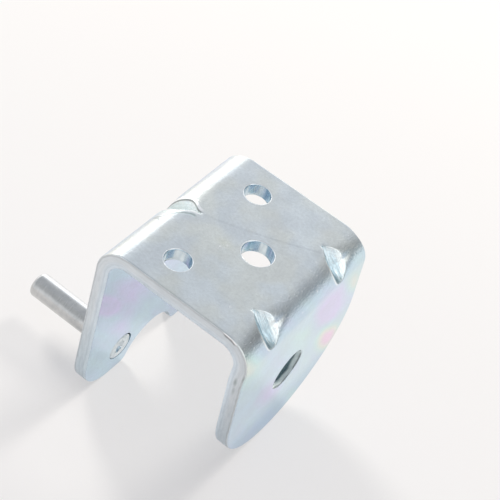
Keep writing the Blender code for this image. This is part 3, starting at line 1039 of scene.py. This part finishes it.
def turned_steel():
    """The pin's bare turned steel: fine rings round it, and a painted highlight along its upper rear
    side. The head's face is paler and bluer."""
    material, shader, surface = new_metal("turned_steel")
    place = mm_coordinates(shader)
    rings = shader.noise(shader.scaled(place, (1.0, 0.02, 0.02)), 7.0, 4.0, 0.7)
    cloud = shader.noise(place, 0.6, 4.0, 0.6)
    colour = shader.ramp(cloud, ((0.3, (0.53, 0.54, 0.54)), (0.7, (0.66, 0.66, 0.65))))
    # Painted highlight along the pin's upper rear side
    rearward = shader.dot(shader.coordinates("Normal"), HIGHLIGHT_SIDE)
    painted_highlight = shader.range(rearward, 0.56, 0.72, 0.0, 0.8)
    colour = shader.mix(painted_highlight, colour, (0.95, 0.96, 0.97, 1.0))
    on_head = shader.math("GREATER_THAN", shader.dot(place, RIGHTWARD), PIN_HEAD_X)
    head = shader.ramp(shader.noise(place, 1.3, 3.0, 0.6), (
        (0.35, (0.55, 0.63, 0.66)),
        (0.65, (0.80, 0.85, 0.88)),
    ))
    relief = shader.bump(shader.noise(place, 6.0, 3.0, 0.6), PIN_GRAIN_RELIEF)
    shader.feed(surface, {
        "Base Color": shader.mix(on_head, colour, head),
        "Roughness": shader.range(rings, 0.3, 0.7, 0.16, 0.28),
        "Normal": shader.bump(rings, PIN_RING_RELIEF, relief),
    })
    return material


def make_floor():
    """A wide pale floor at the feet's level. The camera and the metal see it whiter than the lamps
    alone make it."""
    material = bpy.data.materials.new("floor")
    material.use_nodes = True
    shader = Shader(material.node_tree)
    surface = material.node_tree.nodes["Principled BSDF"]
    away = shader.dot(shader.coordinates("Object"), FLOOR_AWAY)
    back = shader.range(away, *FLOOR_CHANGE, smooth=False)
    colour = shader.mix(back, (0.90, 0.88, 0.875, 1.0), (0.975, 0.95, 0.928, 1.0))
    shader.feed(surface, {"Base Color": colour, "Roughness": 0.9, "Specular IOR Level": 0.0})
    white = shader.add("ShaderNodeEmission", {"Color": colour, "Strength": 1.0}).outputs[0]
    rays = shader.add("ShaderNodeLightPath").outputs
    share = shader.times(rays["Is Camera Ray"], 0.5)
    share = shader.math("MULTIPLY_ADD", rays["Is Glossy Ray"], 0.42, share)
    mixed = shader.add("ShaderNodeMixShader", {0: share, 1: surface.outputs[0], 2: white})
    shader.feed(material.node_tree.nodes["Material Output"], {"Surface": mixed.outputs[0]})
    grid = bmesh.new()
    bmesh.ops.create_grid(grid, x_segments=1, y_segments=1, size=FLOOR_REACH)
    mesh = bpy.data.meshes.new("floor")
    grid.to_mesh(mesh)
    grid.free()
    mesh.materials.append(material)
    floor = bpy.data.objects.new("floor", mesh)
    floor.location = (0.0, 0.0, -HEIGHT - FLOOR_GAP)
    bpy.context.scene.collection.objects.link(floor)


def direction(azimuth, elevation):
    """A unit vector: azimuth 0 is the rear, positive to the right."""
    azimuth = math.radians(azimuth)
    elevation = math.radians(elevation)
    flat = math.cos(elevation)
    return (flat * math.sin(azimuth), flat * math.cos(azimuth), math.sin(elevation))


def make_world():
    """A pale studio, cool grey above and white low down, with the windows and dim walls that the
    metal shows."""
    world = bpy.data.worlds.new("studio")
    world.use_nodes = True
    bpy.context.scene.world = world
    shader = Shader(world.node_tree)
    way = shader.coordinates("Generated")
    colour = shader.ramp(shader.dot(way, UPWARD), (
        (0.10, (0.93, 0.95, 0.98)),
        (0.45, (0.86, 0.88, 0.91)),
        (0.70, (0.70, 0.73, 0.77)),
        (0.95, (0.53, 0.555, 0.595)),
    ))
    for azimuth, elevation, inner, outer, tone in SURROUNDINGS:
        towards = shader.dot(way, direction(azimuth, elevation))
        low = math.cos(math.radians(outer))
        high = math.cos(math.radians(inner))
        colour = shader.mix(shader.range(towards, low, high), colour, tone)
    rays = shader.add("ShaderNodeLightPath").outputs
    colour = shader.mix(rays["Is Glossy Ray"], (0.40, 0.42, 0.46, 1.0), colour)
    colour = shader.mix(rays["Is Camera Ray"], colour, (0.95, 0.93, 0.91, 1.0))
    shader.feed(world.node_tree.nodes["Background"], {"Color": colour})


def add_lamp(name, azimuth, elevation, spread, level):
    """A soft round lamp aimed at the hinge, that far across in degrees. It gives the floor that
    share of its light. The world holds what the metal shows of the lamps."""
    lamp = bpy.data.lights.new(name, "AREA")
    lamp.shape = "DISK"
    lamp.size = 2 * LAMP_DISTANCE * math.tan(math.radians(spread) / 2)
    lamp.energy = level * math.pi**2 * LAMP_DISTANCE**2 / math.sin(math.radians(elevation))
    lamp.color = LAMP_COLOUR
    obj = bpy.data.objects.new(name, lamp)
    away = Vector(direction(azimuth, elevation))
    obj.location = away * LAMP_DISTANCE
    obj.rotation_euler = away.to_track_quat("Z", "Y").to_euler()
    obj.visible_glossy = False
    bpy.context.scene.collection.objects.link(obj)


def make_camera():
    """A camera high up in front of the hinge, to its right, that looks down on it."""
    camera = bpy.data.cameras.new("camera")
    camera.sensor_width = 36.0
    camera.lens = 94.28
    camera.clip_start = 0.01
    obj = bpy.data.objects.new("camera", camera)
    obj.location = (0.071867, -0.157452, 0.173350)
    obj.rotation_euler = [math.radians(a) for a in (42.7423, -13.2970, 36.2270)]
    bpy.context.scene.collection.objects.link(obj)
    bpy.context.scene.camera = obj


def main():
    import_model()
    make_bracket([zinc_face(), zinc_edge(), zinc_hole()])
    make_pin(turned_steel())
    make_floor()
    make_world()
    for lamp in LAMPS:
        add_lamp(*lamp)
    make_camera()
    bpy.context.scene.view_settings.view_transform = "Standard"


main()
